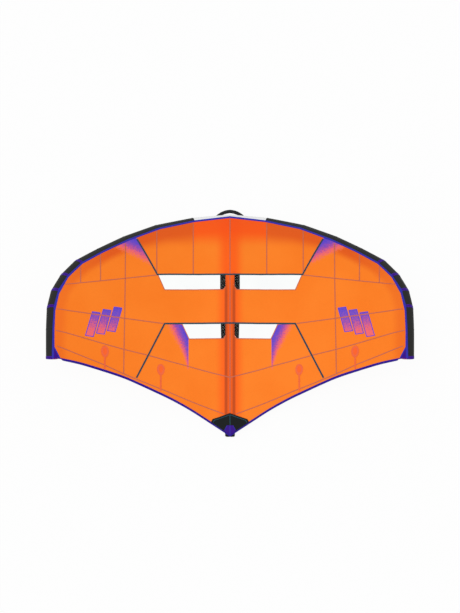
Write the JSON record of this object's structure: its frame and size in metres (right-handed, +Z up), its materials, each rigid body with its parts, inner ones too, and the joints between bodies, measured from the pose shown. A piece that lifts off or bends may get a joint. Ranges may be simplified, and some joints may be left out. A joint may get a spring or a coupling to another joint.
{
  "type": "wingfoil wing",
  "caption": "Hand-held inflatable wing: a bent tube leading edge and a centre strut carry a sewn canopy with windows, grips, an air valve and tapes.",
  "frame": {"origin": "on the ground under the middle of the wing's overall box, with the inflated wing lying on its tube and strut", "axes": "+X along the span towards the wing's right tip, +Y forward past the leading edge, +Z up through the canopy"},
  "size_m": [2.9404, 2.0114, 0.5196],
  "materials": {
    "orange_canopy_cloth": "orange ripstop polyester canopy cloth, satin",
    "white_tube_cloth": "white woven polyester tube cloth, matt",
    "charcoal_tube_cloth": "charcoal woven polyester tube cloth, matt",
    "orange_patch_cloth": "orange reinforcement cloth over a batten's end",
    "purple_tape_cloth": "purple reinforcement cloth, satin",
    "blue_piping_cloth": "blue-purple seam ribbon, satin",
    "navy_tape_cloth": "navy load tape, satin",
    "black_patch_cloth": "black reinforcement cloth, matt",
    "black_webbing": "black woven nylon webbing",
    "grip_foam": "black closed-cell grip foam, matt",
    "black_hose_rubber": "black flexible hose, satin",
    "black_plastic": "black moulded nylon",
    "grey_plastic": "grey moulded nylon",
    "clear_window_film": "clear flexible window film",
    "bladder_film": "milky polyurethane bladder film"
  },
  "bodies": {
    "root": {"air_hose": "black_hose_rubber", "batten_inner_left": "orange_patch_cloth", "batten_inner_right": "orange_patch_cloth", "batten_outer_left": "orange_patch_cloth", "batten_outer_right": "orange_patch_cloth", "canopy_middle_panel_left": "orange_canopy_cloth", "canopy_middle_panel_right": "orange_canopy_cloth", "canopy_nose_panel_left": "orange_canopy_cloth", "canopy_nose_panel_right": "orange_canopy_cloth", "canopy_piping": "blue_piping_cloth", "canopy_tail_panel_left": "orange_canopy_cloth", "canopy_tail_panel_right": "orange_canopy_cloth", "centre_sleeve": "white_tube_cloth", "clip_body": "grey_plastic", "front_grip": "grip_foam", "front_grip_strap": "black_webbing", "front_window_left": "clear_window_film", "front_window_right": "clear_window_film", "harness_loop_front": "black_webbing", "harness_loop_rear": "black_webbing", "inner_sleeve_left": "charcoal_tube_cloth", "inner_sleeve_right": "charcoal_tube_cloth", "leash_loop": "black_webbing", "load_tape_front": "navy_tape_cloth", "load_tape_rear": "navy_tape_cloth", "nose_handle": "black_webbing", "rear_grip": "grip_foam", "rear_grip_strap": "black_webbing", "rear_window_left": "clear_window_film", "rear_window_right": "clear_window_film", "seam_band_1_left": "purple_tape_cloth", "seam_band_1_right": "purple_tape_cloth", "seam_band_2_left": "purple_tape_cloth", "seam_band_2_right": "purple_tape_cloth", "seam_band_3_left": "purple_tape_cloth", "seam_band_3_right": "purple_tape_cloth", "seam_band_4_left": "purple_tape_cloth", "seam_band_4_right": "purple_tape_cloth", "shoulder_sleeve_left": "charcoal_tube_cloth", "shoulder_sleeve_right": "charcoal_tube_cloth", "strut_bladder": "bladder_film", "strut_sleeve": "charcoal_tube_cloth", "strut_tail_cap": "black_patch_cloth", "tail_shield": "black_patch_cloth", "tip_cap_left": "purple_tape_cloth", "tip_cap_right": "purple_tape_cloth", "tip_patch_left": "purple_tape_cloth", "tip_patch_right": "purple_tape_cloth", "tip_sleeve_left": "charcoal_tube_cloth", "tip_sleeve_right": "charcoal_tube_cloth", "trailing_hem": "purple_tape_cloth", "tube_bladder": "bladder_film", "valve_base": "grey_plastic", "zip_tape": "black_plastic"},
    "valve_plug": {"valve_plug": "black_plastic"},
    "valve_cap": {"valve_cap": "black_plastic"},
    "clip_lever": {"clip_lever": "black_plastic"},
    "zip_slider": {"zip_slider": "grey_plastic"}
  },
  "joints": [
    {"name": "valve_plug_turn", "type": "hinge", "parent": "root", "child": "valve_plug", "pos_m": [0.16739, 0.70141, 0.09578], "axis": [-0.0732, -0.9862, -0.1487], "range_deg": [0, 45]},
    {"name": "valve_cap_hinge", "type": "hinge", "parent": "valve_plug", "child": "valve_cap", "pos_m": [0.19265, 0.68361, 0.09315], "axis": [-0.0023, -0.149, 0.9888], "range_deg": [0, 150]},
    {"name": "clip_lever_hinge", "type": "hinge", "parent": "root", "child": "clip_lever", "pos_m": [-0.16107, 0.59832, 0.13807], "axis": [0.6464, -0.4054, -0.6464], "range_deg": [0, 70]},
    {"name": "zip_slide", "type": "slide", "parent": "root", "child": "zip_slider", "axis": [0.9969, 0.0787, 0.0015], "range_m": [0, 0.165]}
  ]
}
